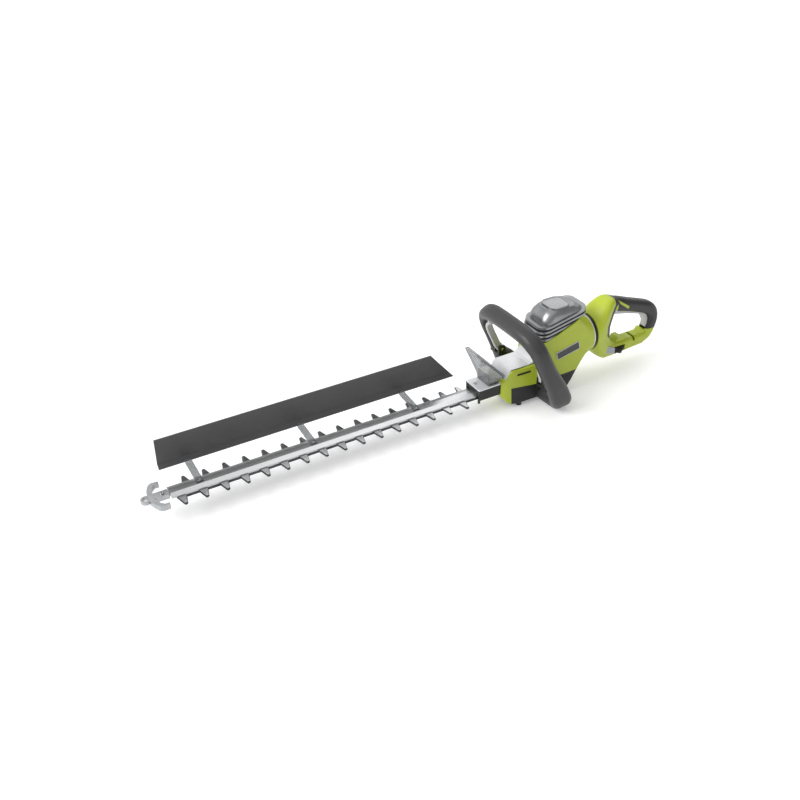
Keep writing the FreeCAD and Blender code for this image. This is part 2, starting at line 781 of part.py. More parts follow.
def housing_skin():
    """The hollow housing before it is split into shells."""
    skin = housing_outer().cut(housing_inner())
    bar_mouth = box(-115, -85, -24.2, 24.2, -6.2, 19.2)
    swivel_mouth = cylinder(SWIVEL_RADIUS - 4.0, V(SWIVEL_X - 5, 0, SWIVEL_Z), V(1, 0, 0), 28)
    lid_hole = box(-186, -95, -29.0, 29.0, 44, 120)
    gasket_room = prism(rectangle(-174, -110, -30.4, 30.4, 3), "z", 47.6, 56)
    front_hole = cover_space()
    return skin.cut([bar_mouth, swivel_mouth, lid_hole, front_hole, gasket_room])


def left_half():
    return box(-400, 0, 0, 80, -80, 200)


def swivel_collar():
    """Bearing ring held by the housing shells, which the rear handle's neck turns in, with a band in the gap."""
    ring = cylinder(SWIVEL_RADIUS - 4.0, V(SWIVEL_X, 0, SWIVEL_Z), V(1, 0, 0), 7)
    waist = cylinder(34.0, V(SWIVEL_X - 3, 0, SWIVEL_Z), V(1, 0, 0), 3)
    band_start = HANDLE_FRONT_X + 0.5
    band = cylinder(SWIVEL_RADIUS - 2.0, V(band_start, 0, SWIVEL_Z), V(1, 0, 0), SWIVEL_X - 3 - band_start)
    return joined([ring, waist, band]).cut(cylinder(31.0, V(SWIVEL_X - 15, 0, SWIVEL_Z), V(1, 0, 0), 30))


def swivel_trim():
    """Bright ring round the joint."""
    ring = cylinder(SWIVEL_RADIUS - 0.6, V(SWIVEL_X - 3, 0, SWIVEL_Z), V(1, 0, 0), 3)
    return ring.cut(cylinder(34.0, V(SWIVEL_X - 4, 0, SWIVEL_Z), V(1, 0, 0), 5))


def vent_panels():
    """Louvred inserts low on both sides of the motor."""
    panel = prism(
        [(-232, 4.5, 2), (-268, 4.5, 2), (-256, -16, 2), (-248, -24, 2), (-232, -24, 2)], "y", 40.0, 41.6
    )
    louvres = [
        box(-250 - i * 3.5, -235, 41.0, 42.6, -20 + i * 6.0, -18 + i * 6.0) for i in range(4)
    ]
    return both_sides(joined([panel] + louvres))


def side_badges():
    """Blank name plates on both sides of the motor."""
    plate = prism([(-222, 48, 2), (-280, 60, 2), (-275, 79.5, 2), (-216, 66, 2)], "y", 40.4, 43.2)
    return both_sides(plate)


def rubber_feet():
    feet = []
    for side in (1, -1):
        foot = post(6.5, -140, side * 25, FLOOR_Z, -34)
        feet.append(foot)
    return feet


def cap_section(z, x_front, x_rear, half, radius):
    centre = V((x_front + x_rear) / 2, 0, z)
    return section(centre, V(1, 0, 0), V(0, 1, 0), x_front - x_rear, 2 * half, radius)


# smooth body of the motor cap, from its skirt to its top: z, front x, rear x, half width, corner radius
CAP_BODY = [
    (84.0, -184.0, -299.0, 34.5, 19.0),
    (136.0, -189.0, -297.0, 34.5, 19.0),
    (147.0, -194.0, -294.0, 33.0, 19.0),
    (154.5, -202.0, -285.0, 29.5, 18.5),
    (159.0, -208.0, -274.0, 25.5, 17.0),
]
# envelope of its cooling fins
CAP_FINS = [
    (84.0, -176.0, -304.0, 39.5, 22.0),
    (118.0, -178.0, -303.0, 39.0, 22.0),
    (160.0, -187.0, -299.0, 36.5, 21.0),
]
FIN_HEIGHTS = (101.0, 109.6, 118.2, 126.8)
FIN_THICKNESS = 4.4
FIN_SLOPE_DEG = 11.0
CAP_WALL = 2.6


def cap_loft(levels, inset, drop=0.0):
    wires = []
    for z, x_front, x_rear, half, radius in levels:
        wires.append(cap_section(z - drop, x_front - inset, x_rear + inset, half - inset, radius - inset))
    return loft(wires, True)


def motor_cap():
    """Finned metal-look cap over the motor, standing on the housing's slope."""
    slope = math.radians(CAP_SLOPE_DEG)
    envelope = cap_loft(CAP_FINS, 0.0)
    fins = []
    for height in FIN_HEIGHTS:
        above = above_slope(-196.0, height, FIN_SLOPE_DEG)
        too_high = above_slope(-196.0, height + FIN_THICKNESS, FIN_SLOPE_DEG)
        fins.append(envelope.common(above).cut(too_high))
    body = joined([cap_loft(CAP_BODY, 0.0)] + fins)
    ring = Part.Face(cap_section(158.5, -211.0, -262.0, 24.5, 16)).extrude(V(0, 0, 3.4))
    well = Part.Face(cap_section(160.2, -214.5, -258.5, 21.0, 12.5)).extrude(V(0, 0, 5))
    hollow = cap_loft(CAP_BODY, CAP_WALL, 3.0)
    below = half_space(V(CAP_FRONT_X, 0, CAP_FRONT_Z), V(-math.sin(slope), 0, -math.cos(slope)))
    return body.fuse(ring).cut([well, hollow, below])


def cap_badge():
    """Blank oval inlay in the top of the cap."""
    return Part.Face(cap_section(160.2, -214.7, -258.3, 20.8, 12.3)).extrude(V(0, 0, 1.0))


# ---------------------------------------------------------------- front handle

# left half of the loop, from the top middle to the foot and in to the body:
# y, x, z, fore-and-aft size, thickness, nose-down tilt of the section
LEFT_LOOP = [
    (0, -121, 143, 37, 32, 26),
    (35, -121, 142.5, 37, 32, 26),
    (60, -121.5, 140.5, 37, 32, 26),
    (78, -124, 133, 37, 32, 26),
    (90, -130, 119, 36, 31, 26),
    (96, -140, 95, 36, 31, 26),
    (99, -152, 69, 37, 31, 25),
    (100, -166, 43, 40, 31, 23),
    (99, -179.5, 19, 44, 31, 20),
    (96, -192, -5, 46, 31, 14),
    (88, -201, -20, 46, 30, 6),
    (70, -204, -27, 44, 30, 0),
    (44, -203, -27, 46, 30, 0),
    (30, -203, -27, 46, 30, 0),
]
# the right side is a slim strut between the same top bar and the same foot
RIGHT_LOOP = LEFT_LOOP[:3] + [
    (80, -122, 133, 34, 28, 26),
    (92, -122, 118, 22, 20, 26),
    (96, -127, 97, 16, 15, 26),
    (97, -139, 71, 15, 14, 26),
    (97, -152, 45, 17, 15, 26),
    (98, -168, 20, 26, 21, 22),
    (100, -188, -4, 42, 31, 14),
] + LEFT_LOOP[10:]
LOOP_SPLIT_POINT = V(-121.0, 0, 143.0)
LOOP_SPLIT_NORMAL = V(0.897, 0, -0.441)


def facing(tilt_deg):
    """Forward, tipped down by an angle."""
    return V(math.cos(math.radians(tilt_deg)), 0, -math.sin(math.radians(tilt_deg)))


def sideways(forward, along):
    """The part of a direction that is square to the path."""
    return (forward - along * forward.dot(along)).normalize()


def loop_half(stations, side, inset):
    """Half of the front handle: rounded sections strung along its path."""
    path = finer(stations, 3)
    centres = [V(x, side * y, z) for y, x, z, _, _, _ in path]
    wires = []
    for i, (_, _, _, width, thickness, tilt) in enumerate(path):
        along = (centres[min(i + 1, len(path) - 1)] - centres[max(i - 1, 0)]).normalize()
        if i == 0:
            along = V(0, side, 0)
        across = sideways(facing(tilt), along)
        w = max(width - 2 * inset, 4.0)
        t = max(thickness - 2 * inset, 4.0)
        wires.append(section(centres[i], across, along.cross(across), w, t, min(w, t) * 0.45))
    return loft(wires, True)


def front_loop(inset):
    return joined([loop_half(LEFT_LOOP, 1, inset), loop_half(RIGHT_LOOP, -1, inset)])


SCREW_SPOTS = [(-121, 0, 143), (-121.5, 60, 140.5), (-121.5, -60, 140.5), (-152, 99, 69), (-179.5, 99, 19)]


def front_handle(outer_housing):
    """The hollow loop with its screw bosses, trimmed to the housing's sides and to the floor."""
    solid = front_loop(0.0)
    shell = solid.cut(front_loop(HANDLE_WALL))
    bosses = []
    sinks = []
    for x, y, z in SCREW_SPOTS:
        spot = V(x, y, z)
        bosses.append(cylinder(5.5, spot - LOOP_SPLIT_NORMAL * 30, LOOP_SPLIT_NORMAL, 54).common(solid))
        sinks.append(cylinder(3.9, spot - LOOP_SPLIT_NORMAL * 43, LOOP_SPLIT_NORMAL, 30))
    whole = joined([shell] + bosses)
    floor = box(-320, -80, -140, 140, FLOOR_Z - 20, FLOOR_Z)
    return whole.cut(sinks + [floor, outer_housing, box(-320, -80, -34, 34, -80, 20)])


def front_handle_screws():
    """Screws from behind that hold the two halves of the front handle together."""
    screws = []
    for x, y, z in SCREW_SPOTS:
        screws.append(screw(V(x, y, z) - LOOP_SPLIT_NORMAL * 13, LOOP_SPLIT_NORMAL, 22, 1.8, 3.4, 2.0))
    return screws


BAIL_ROUTE = [
    # y, x, z of the bar that the fingers squeeze, from the right pivot to the left one
    (-80, -160, 36),
    (-80, -151.5, 47.5),
    (-80, -142, 67.5),
    (-80, -133.5, 84.5),
    (-79, -127, 101),
    (-75, -128, 110),
    (-66, -140, 116),
    (-42, -148, 119),
    (0, -149, 120),
    (42, -148, 119),
    (64, -146, 115),
    (71, -146, 105),
    (74, -148, 84),
    (75, -152, 60),
    (75, -160, 36),
]


def switch_bail():
    """Finger lever inside the loop: a flat bar on two legs, with an eye at each pivot."""
    path = finer(BAIL_ROUTE, 2)
    centres = [V(x, y, z) for y, x, z in path]
    wires = []
    for i, centre in enumerate(centres):
        along = (centres[min(i + 1, len(centres) - 1)] - centres[max(i - 1, 0)]).normalize()
        across = sideways(facing(26), along)
        wires.append(section(centre, across, along.cross(across), 16, 8.4, 3.6))
    whole = loft(wires, True)
    for y in BAIL_SIDES:
        whole = whole.fuse(cylinder(8, V(BAIL_PIVOT[0], y - 4.5, BAIL_PIVOT[1]), V(0, 1, 0), 9))
    bores = [cylinder(3.0 + RUNNING_GAP, V(BAIL_PIVOT[0], y - 8, BAIL_PIVOT[1]), V(0, 1, 0), 16)
             for y in BAIL_SIDES]
    return whole.removeSplitter().cut(bores)


def bail_brackets(loop):
    """Forks on the handle's legs that carry the bail's pins."""
    brackets = []
    x, z = BAIL_PIVOT
    lug = [(x - 9, z - 15, 5), (x + 9, z - 15, 5), (x + 9, z + 9, 7), (x - 9, z + 9, 7)]
    web = [(x - 12, z - 16, 4), (x + 9, z - 16, 4), (x + 9, z - 9.4, 2), (x - 12, z - 9.4, 2)]
    for y in BAIL_SIDES:
        out = 1 if y > 0 else -1
        spans = [(lug, y - out * 9.5, y - out * 5.0), (lug, y + out * 5.0, y + out * 22.0)]
        spans.append((web, y - out * 9.5, y + out * 22.0))
        plates = [prism(plan, "y", min(ends), max(ends)) for plan, *ends in spans]
        fork = joined(plates).cut(loop)
        brackets.append(max(fork.Solids, key=lambda solid: solid.Volume))
    return brackets


def bail_pins():
    return [cylinder(3.0, V(BAIL_PIVOT[0], y - 9.5, BAIL_PIVOT[1]), V(0, 1, 0), 19) for y in BAIL_SIDES]


# ---------------------------------------------------------------- rear handle

# neck of the rear handle: x, half width, low z, high z, corner radius
NECK = [
    (HANDLE_FRONT_X, SWIVEL_RADIUS, SWIVEL_Z - SWIVEL_RADIUS, SWIVEL_Z + SWIVEL_RADIUS, SWIVEL_RADIUS - 0.1),
    (-338.0, 41.0, 20.0, 112.0, 38.0),
    (-347.0, 38.5, 11.0, 119.0, 33.0),
    (-358.0, 34.0, 2.0, 128.5, 27.0),
    (-370.0, 28.5, -6.0, 135.5, 20.0),
    (-380.0, 24.0, -9.0, 137.5, 15.0),
    (-390.0, 20.5, -9.0, 136.0, 13.0),
    (-402.0, 18.5, -9.0, 131.0, 12.0),
]
# grip and rear upright: x, z, size along the middle plane, width, direction of the path in degrees
GRIP = [
    (-384.0, 119.5, 34.0, 33.0, 189.0),
    (-408.0, 114.0, 32.0, 33.0, 194.0),
    (-440.0, 103.5, 28.5, 33.0, 197.0),
    (-475.0, 91.5, 28.5, 33.0, 200.0),
    (-500.0, 80.5, 30.5, 33.0, 211.0),
    (-513.0, 65.0, 32.0, 32.0, 242.0),
    (-515.5, 47.0, 31.0, 32.0, 268.0),
    (-511.0, 29.0, 31.0, 31.0, 286.0),
    (-503.0, 14.0, 30.0, 31.0, 298.0),
    (-493.0, 5.5, 22.0, 29.0, 330.0),
]
LOWER_BAR = [
    # x, low z, high z, half width
    (-386.0, -8.6, 18.0, 19.0),
    (-402.0, -8.8, 19.5, 18.6),
    (-430.0, -7.5, 20.5, 18.5),
    (-465.0, -6.5, 22.0, 16.5),
    (-490.0, -6.0, 23.0, 15.5),
    (-504.0, 3.0, 22.0, 14.5),
]


def neck_loft(inset):
    wires = []
    for x, half, low, high, radius in finer(NECK, 2):
        width, height = 2 * (half - inset), high - low - 2 * inset
        limit = min(width, height) / 2 - 0.05
        centre = V(x, 0, (low + high) / 2)
        wires.append(section(centre, V(0, 1, 0), V(0, 0, 1), width, height, min(radius, limit)))
    return loft(wires, True)


def grip_loft(inset):
    wires = []
    for x, z, depth, width, heading in finer(GRIP, 3):
        angle = math.radians(heading)
        up = V(-math.sin(angle), 0, math.cos(angle))
        w, d = width - 2 * inset, depth - 2 * inset
        wires.append(section(V(x, 0, z), V(0, 1, 0), up, w, d, min(w, d) * 0.42))
    return loft(wires, True)


def lower_bar_loft(inset):
    wires = []
    for x, low, high, half in LOWER_BAR:
        width, height = 2 * (half - inset), high - low - 2 * inset
        wires.append(section(V(x, 0, (low + high) / 2), V(0, 1, 0), V(0, 0, 1), width, height, 8.0 - inset))
    return loft(wires, True)


def neck_opening(grow=0.0):
    """Cuts the neck's rear back to the front edge of the hand hole."""
    hole = [
        (-394 + grow, 122, 8),
        (-384 + grow, 100, 0),
        (-374 + grow, 78, 14),
        (-377 + grow, 48, 14),
        (-392, 20 - grow, 8),
        (-430, 20 - grow, 0),
        (-430, 122, 0),
    ]
    return prism(hole, "y", -60, 60)


def rest_bump():
    """Raised stop on the lower bar and the spike behind the cord retainer."""
    bump = prism([(-408, 18, 0), (-416, 31, 4), (-428, 31, 5), (-442, 19, 0)], "y", -12, 12)
    spike = prism([(-480, 20, 0), (-491, 32, 2), (-503, 19, 0)], "y", -11, 11)
    return [bump, spike]


def rear_handle():
    """The rear handle as one hollow moulding, before it is split."""
    outer = joined([neck_loft(0.0).cut(neck_opening()), grip_loft(0.0), lower_bar_loft(0.0)] + rest_bump())
    inset = HANDLE_WALL
    inner_neck = neck_loft(inset).cut(neck_opening(inset))
    inner = joined([inner_neck, grip_loft(inset), lower_bar_loft(inset)])
    front_wall = box(HANDLE_FRONT_X - 3.5, HANDLE_FRONT_X + 1, -60, 60, 0, 160)
    shell = outer.cut(inner.cut(front_wall))
    tube_start = HANDLE_FRONT_X - 2
    neck_tube = cylinder(30.6, V(tube_start, 0, SWIVEL_Z), V(1, 0, 0), SWIVEL_X + 12 - tube_start)
    flange = cylinder(35.0, V(SWIVEL_X + 8, 0, SWIVEL_Z), V(1, 0, 0), 4)
    bore = cylinder(27.0, V(tube_start - 5, 0, SWIVEL_Z), V(1, 0, 0), 35)
    whole = joined([shell, neck_tube, flange]).cut(bore)
    trigger_slot = prism(
        [(-393, 92, 0), (-393, 112, 0), (-412, 116, 0), (-516, 80, 6), (-516, 26, 0), (-494, 26, 0),
         (-494, 56, 0)],
        "y",
        -8.6,
        8.6,
    )
    retainer = prism([(-458, 12, 0), (-458, 30, 0), (-464, 30, 0), (-464, 12, 0)], "y", -10, 30)
    return whole.cut([trigger_slot, retainer])


def overmould_of(handle):
    """Soft skin on the grip, the rear curve and the hand hole's front edge, open over a short stripe."""
    inside = joined([grip_loft(1.6), neck_loft(1.6).common(box(-400.4, -300, -60, 60, -40, 160))])
    zone = prism(
        [
            (-391, 150, 0),
            (-387, 126, 0),
            (-374, 104, 0),
            (-364, 83, 10),
            (-365, 58, 10),
            (-378, 46, 0),
            (-396, 46, 0),
            (-396, 80, 0),
            (-484, 54, 0),
            (-488, 30, 0),
            (-540, 30, 0),
            (-540, 150, 0),
        ],
        "y",
        -60,
        60,
    )
    stripe = prism([(-400, 130, 0), (-403, 122, 0), (-431, 101, 2), (-433, 107, 2)], "y", 8, 60)
    return handle.cut(inside).common(zone).cut(stripe)


def rear_trigger():
    """Long finger trigger under the grip, pivoted at its front end."""
    x, z = TRIGGER_PIN_AT
    corners = [
        (x + 6.5, z + 4.5, 4),
        (x + 5.5, z - 9.5, 4),
        (-432, 86.0, 30),
        (-470, 75.0, 16),
        (-488, 63.0, 12),
        (-497, 47.0, 10),
        (-496.5, 33.0, 2),
        (-503, 33.0, 2),
        (-505, 48.0, 8),
        (-499, 64.0, 8),
        (-493, 73.0, 8),
        (-432, 95.0, 10),
    ]
    body = prism(corners, "y", -7.8, 7.8)
    return body.cut(cylinder(2.5 + RUNNING_GAP, V(x, -20, z), V(0, 1, 0), 40))


def trigger_pin():
    return cylinder(2.5, V(TRIGGER_PIN_AT[0], -12.5, TRIGGER_PIN_AT[1]), V(0, 1, 0), 25)


def trigger_switch():
    """Switch block inside the grip, with its plunger over the trigger."""
    block = box(-468, -440, -12, 12, 103, 107).rotate(V(-454, 0, 105), V(0, 1, 0), -19)
    plunger = cylinder(2.2, V(-454, 0, 98), V(0, 0, 1), 6)
    return block.fuse(plunger)


def release_slider():
    """Ribbed button that unlocks the swivel, in the left side of the lower bar."""
    body = prism([(-400, -1, 2), (-426, 0, 2), (-426, 12, 2), (-400, 12, 2)], "y", 15.6, 22.6)
    ribs = [box(-405 - i * 4.2, -403 - i * 4.2, 22.0, 24.4, 1, 11) for i in range(5)]
    return joined([body] + ribs)


def cord_gland():
    """Bush under the lower bar, where the supply cord goes in."""
    collar = cylinder(8.0, V(-436, 0, -9.0), V(0, 0, 1), 5)
    sleeve = cylinder(6.5, V(-436, 0, -18), V(0, 0, 1), 10)
    bore = cylinder(3.8, V(-436, 0, -19), V(0, 0, 1), 20)
    return collar.fuse(sleeve).cut(bore)


def label_plate():
    """Blank rating plate on the left of the lower bar."""
    return prism([(-372, 10, 1), (-397, 3, 1), (-397, 16, 1), (-386, 22, 1), (-372, 27, 1)], "y", 18.5, 27)


# ---------------------------------------------------------------- assembly


def only_big(shape, smallest=900.0):
    """Drops stray slivers, keeping the real pieces of a cut."""
    return [solid for solid in shape.Solids if solid.Volume > smallest]


def cutting_unit():
    screws = bar_screws()
    clip_screws = sweep_screws()
    plate_screws = bracket_screws()
    clips = sweep_clips()
    bow = tip_protector()
    bow_screw = tip_screw()
    return {
        "upper_blade": blade(0.0, 1.6),
        "lower_blade": blade(-BLADE_THICKNESS - BLADE_GAP, -1.6),
        "blade_bar": blade_bar().cut(screws + clip_screws + [bow_screw] + plate_screws),
        "bar_screws": screws,
        "bar_bushes": [bush.cut(screws) for bush in bar_bushes()],
        "tip_protector": bow.cut(bow_screw),
        "tip_screw": bow_screw,
        "sweep_plate": sweep_plate().cut(clips),
        "sweep_clips": [clip.cut(clip_screws) for clip in clips],
        "sweep_screws": clip_screws,
        "blade_bracket": blade_bracket().cut(plate_screws),
        "bracket_plate": bracket_plate().cut(plate_screws),
        "bracket_screws": plate_screws,
        "hand_guard": hand_guard().cut(plate_screws),
    }


def drive():
    screws = case_screws()
    return {
        "gear_case": gear_case(),
        "gear_plate": gear_plate().cut(screws),
        "bearing_plate": bearing_plate().cut(screws + cover_screws()),
        "case_screws": screws,
        "crank_gear": crank_gear(),
        "crank_shaft": crank_shaft(),
        "crank_cams": crank_cams(),
        "idler_gear": idler_gear(),
        "idler_shaft": idler_shaft(),
        "rotor_shaft": rotor_shaft(),
        "armature": armature(),
        "commutator": commutator(),
        "cooling_fan": cooling_fan(),
        "ball_bearings": ball_bearings(),
        "idler_bearings": idler_bearings(),
        "stator": stator(),
        "brush_bridge": brush_bridge(),
        "carbon_brushes": carbon_brushes(),
    }


def housing():
    outer = housing_outer()
    skin = housing_skin()
    belt = below_belt()
    badges = side_badges()
    panels = vent_panels()
    gasket = cover_gasket()
    lid_screws = cover_screws()
    upper = skin.cut([belt, bracket_plate(), gear_case()] + badges)
    lower = skin.common(belt).cut(panels)
    return outer, {
        "left_shell": only_big(upper.common(left_half())),
        "right_shell": only_big(upper.cut(left_half())),
        "lower_housing": only_big(lower),
        "rubber_feet": [foot.cut(outer) for foot in rubber_feet()],
        "vent_panels": panels,
        "side_badges": badges,
        "gear_cover": gear_cover().cut(lid_screws),
        "cover_gasket": gasket,
        "cover_screws": lid_screws,
        "motor_cap": motor_cap(),
        "cap_badge": cap_badge(),
        "swivel_collar": swivel_collar(),
        "swivel_trim": swivel_trim(),
    }


def front_grip(outer_housing):
    screws = front_handle_screws()
    handle = front_handle(outer_housing)
    front_side = half_space(LOOP_SPLIT_POINT, LOOP_SPLIT_NORMAL).fuse(box(-320, -80, -140, -20, -60, 120))
    pins = bail_pins()
    return {
        "front_handle_front": only_big(handle.common(front_side).cut(screws + pins)),
        "front_handle_rear": only_big(handle.cut(front_side).cut(screws + pins)),
        "front_handle_screws": screws,
        "switch_bail": switch_bail(),
        "bail_brackets": [fork.cut(pins) for fork in bail_brackets(front_loop(0.0))],
        "bail_pins": pins,
    }


def rear_grip():
    handle = rear_handle()
    skin = overmould_of(handle)
    pin = trigger_pin()
    slider = release_slider()
    gland = cord_gland()
    label = label_plate()
    recess = prism([(-399, -2, 2), (-434, -1, 2), (-434, 13, 2), (-399, 13, 2)], "y", 12, 40)
    switch = trigger_switch()
    body = handle.cut([skin, pin, gland, label, recess, switch])
    return {
        "rear_handle_left": only_big(body.common(left_of_rear())),
        "rear_handle_right": only_big(body.cut(left_of_rear())),
        "grip_overmould": only_big(skin.cut(pin)),
        "rear_trigger": rear_trigger(),
        "trigger_pin": pin,
        "trigger_switch": switch,
        "release_slider": slider,
        "cord_gland": gland,
        "label_plate": label,
    }


def left_of_rear():
    return box(-600, -300, 0, 90, -80, 200)


def build():
    """All nodes by name, in the layout's own coordinates."""
    outer_housing, housing_nodes = housing()
    nodes = {}
    for group in (cutting_unit(), drive(), housing_nodes, front_grip(outer_housing), rear_grip()):
        nodes.update(group)
    return nodes


if __name__ == "__main__":
    os.makedirs("parts", exist_ok=True)
    for name, shape in build().items():
        whole = Part.makeCompound(shape) if isinstance(shape, list) else shape
        if len(whole.Solids) == 1:
            whole = whole.Solids[0]
        whole.translate(V(-ORIGIN_X, 0, -FLOOR_Z))
        whole.exportStep("parts/" + name + ".step")
        room = whole.BoundBox
        print(
            "%-20s solids %2d valid %s volume %8.0f x %7.1f..%7.1f y %6.1f..%6.1f z %6.1f..%6.1f"
            % (name, len(whole.Solids), whole.isValid(), whole.Volume,
               room.XMin, room.XMax, room.YMin, room.YMax, room.ZMin, room.ZMax)
        )
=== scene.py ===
"""Looks of the hedge trimmer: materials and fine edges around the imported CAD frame. Metres."""

import json
import math

import bmesh
import bpy
from mathutils import Matrix, Vector
from mathutils.bvhtree import BVHTree


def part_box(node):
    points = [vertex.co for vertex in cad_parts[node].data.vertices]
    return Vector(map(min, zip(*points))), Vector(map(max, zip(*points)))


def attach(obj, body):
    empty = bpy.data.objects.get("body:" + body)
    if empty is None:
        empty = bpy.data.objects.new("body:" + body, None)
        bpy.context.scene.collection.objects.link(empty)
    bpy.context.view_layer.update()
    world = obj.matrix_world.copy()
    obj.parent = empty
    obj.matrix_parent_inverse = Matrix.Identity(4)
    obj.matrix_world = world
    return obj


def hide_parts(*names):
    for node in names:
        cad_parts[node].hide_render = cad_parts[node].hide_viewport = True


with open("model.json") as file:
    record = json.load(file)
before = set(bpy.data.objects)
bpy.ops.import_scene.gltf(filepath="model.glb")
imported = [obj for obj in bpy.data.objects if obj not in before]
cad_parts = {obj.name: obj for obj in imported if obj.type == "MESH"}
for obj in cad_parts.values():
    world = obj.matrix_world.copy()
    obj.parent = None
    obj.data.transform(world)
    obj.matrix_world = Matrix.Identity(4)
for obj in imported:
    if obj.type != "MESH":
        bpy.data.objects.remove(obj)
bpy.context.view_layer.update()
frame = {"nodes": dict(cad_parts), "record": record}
record = frame["record"]
nodes = frame["nodes"]
scene = bpy.context.scene
scene.view_settings.view_transform = "Standard"
SLOT_OF = {row["node"]: row["material_slot"] for row in record["subparts"]}
BODY_OF = {n: body for body, names in record["behaviour"]["bodies"].items() for n in names}

# ---------------------------------------------------------------- camera

CAMERA_AT = Vector((0.849, 1.370, 1.137))
AZIMUTH = math.radians(150.30)
ELEVATION = math.radians(33.61)
ROLL = math.radians(-0.41)
LENS_MM = 42.84
SENSOR_MM = 36.0
CLIP_NEAR = 0.02
CLIP_FAR = 60.0


def make_camera():
    data = bpy.data.cameras.new("camera")
    data.sensor_width = SENSOR_MM
    data.lens = LENS_MM
    data.clip_start = CLIP_NEAR
    data.clip_end = CLIP_FAR
    camera = bpy.data.objects.new("camera", data)
    scene.collection.objects.link(camera)
    level = math.cos(ELEVATION)
    back = Vector((math.sin(AZIMUTH) * level, -math.cos(AZIMUTH) * level, math.sin(ELEVATION)))
    right = Vector((math.cos(AZIMUTH), math.sin(AZIMUTH), 0))
    up = back.cross(right)
    turned_right = math.cos(ROLL) * right + math.sin(ROLL) * up
    turned_up = math.cos(ROLL) * up - math.sin(ROLL) * right
    turn = Matrix((turned_right, turned_up, back)).transposed()
    camera.matrix_world = Matrix.Translation(CAMERA_AT) @ turn.to_4x4()
    scene.camera = camera


# ---------------------------------------------------------------- materials

GRIND_SCALE = 900.0
GRIND_DEPTH = 0.00004
GRAIN_DEPTH = 0.00012
FINE_GRAIN_DEPTH = 0.0001
PIT_DEPTH = 0.00018
SCUFF_DEPTH = 0.00005
SHEET_DEPTH = 0.0002


class Graph:
    """A material's node tree with short calls for the nodes that the finishes share."""

    def __init__(self, name):
        self.material = bpy.data.materials.new(name)
        self.material.use_nodes = True
        self.tree = self.material.node_tree
        self.shader = self.tree.nodes["Principled BSDF"]
        self.place = self.tree.nodes.new("ShaderNodeTexCoord").outputs["Object"]

    def add(self, kind, **values):
        node = self.tree.nodes.new(kind)
        for name, value in values.items():
            setattr(node, name, value)
        return node

    def link(self, start, end):
        self.tree.links.new(start, end)

    def stretched(self, scale):
        node = self.add("ShaderNodeMapping")
        node.inputs["Scale"].default_value = scale
        self.link(self.place, node.inputs["Vector"])
        return node.outputs["Vector"]

    def noise(self, scale, detail=3.0, rough=0.5, stretch=None):
        node = self.add("ShaderNodeTexNoise")
        node.inputs["Scale"].default_value = scale
        node.inputs["Detail"].default_value = detail
        node.inputs["Roughness"].default_value = rough
        self.link(self.stretched(stretch) if stretch else self.place, node.inputs["Vector"])
        return node.outputs["Fac"]

    def cells(self, scale):
        node = self.add("ShaderNodeTexVoronoi")
        node.inputs["Scale"].default_value = scale
        self.link(self.place, node.inputs["Vector"])
        return node.outputs["Distance"]

    def ranged(self, value, low, high, start=0.3, end=0.7):
        node = self.add("ShaderNodeMapRange")
        for name, number in (("From Min", start), ("From Max", end), ("To Min", low), ("To Max", high)):
            node.inputs[name].default_value = number
        self.link(value, node.inputs["Value"])
        return node.outputs["Result"]

    def scaled(self, value, factor, added=None):
        """The value times a factor, plus another value where one is given."""
        node = self.add("ShaderNodeMath", operation="MULTIPLY" if added is None else "MULTIPLY_ADD")
        node.inputs[1].default_value = factor
        self.link(value, node.inputs[0])
        if added is not None:
            self.link(added, node.inputs[2])
        return node.outputs[0]

    def ramp(self, value, stops):
        node = self.add("ShaderNodeValToRGB")
        parts = node.color_ramp.elements
        while len(parts) < len(stops):
            parts.new(0.5)
        for part, (place, colour) in zip(parts, stops):
            part.position = place
            part.color = (*colour, 1)
        self.link(value, node.inputs["Fac"])
        return node.outputs["Color"]

    def bump(self, height, strength, distance, under=None):
        node = self.add("ShaderNodeBump")
        node.inputs["Strength"].default_value = strength
        node.inputs["Distance"].default_value = distance
        self.link(height, node.inputs["Height"])
        if under is not None:
            self.link(under, node.inputs["Normal"])
        return node.outputs["Normal"]

    def facing(self, axis):
        """How far the surface faces along an axis of the part, from 0 to 1."""
        split = self.add("ShaderNodeSeparateXYZ")
        normal = self.tree.nodes.new("ShaderNodeTexCoord").outputs["Normal"]
        self.link(normal, split.inputs[0])
        size = self.add("ShaderNodeMath", operation="ABSOLUTE")
        self.link(split.outputs[axis], size.inputs[0])
        return size.outputs[0]

    def paint(self, colour=None, rough=None, normal=None, **fixed):
        for socket, value in (("Base Color", colour), ("Roughness", rough), ("Normal", normal)):
            if value is not None:
                self.link(value, self.shader.inputs[socket])
        for name, value in fixed.items():
            self.shader.inputs[name.replace("_", " ")].default_value = value
        return self.material


def shade(colour, factor):
    return tuple(min(1.0, c * factor) for c in colour)


def moulded(name, colour, rough=(0.34, 0.46), grain=2600.0, depth=0.35, mottle=0.05, **fixed):
    """Injection-moulded plastic: spark-eroded grain, faint flow marks and handling shine."""
    g = Graph(name)
    flow = g.noise(9.0, detail=4.0, rough=0.6)
    tint = g.ramp(flow, [(0.3, shade(colour, 1 - mottle)), (0.7, shade(colour, 1 + mottle))])
    grain_cells = g.cells(grain)
    fine = g.noise(grain * 0.7, detail=2.0)
    normal = g.bump(grain_cells, depth, GRAIN_DEPTH)
    normal = g.bump(fine, depth * 0.6, FINE_GRAIN_DEPTH, normal)
    shine = g.ranged(g.noise(34.0, detail=5.0, rough=0.7), *rough)
    return g.paint(tint, shine, normal, **fixed)


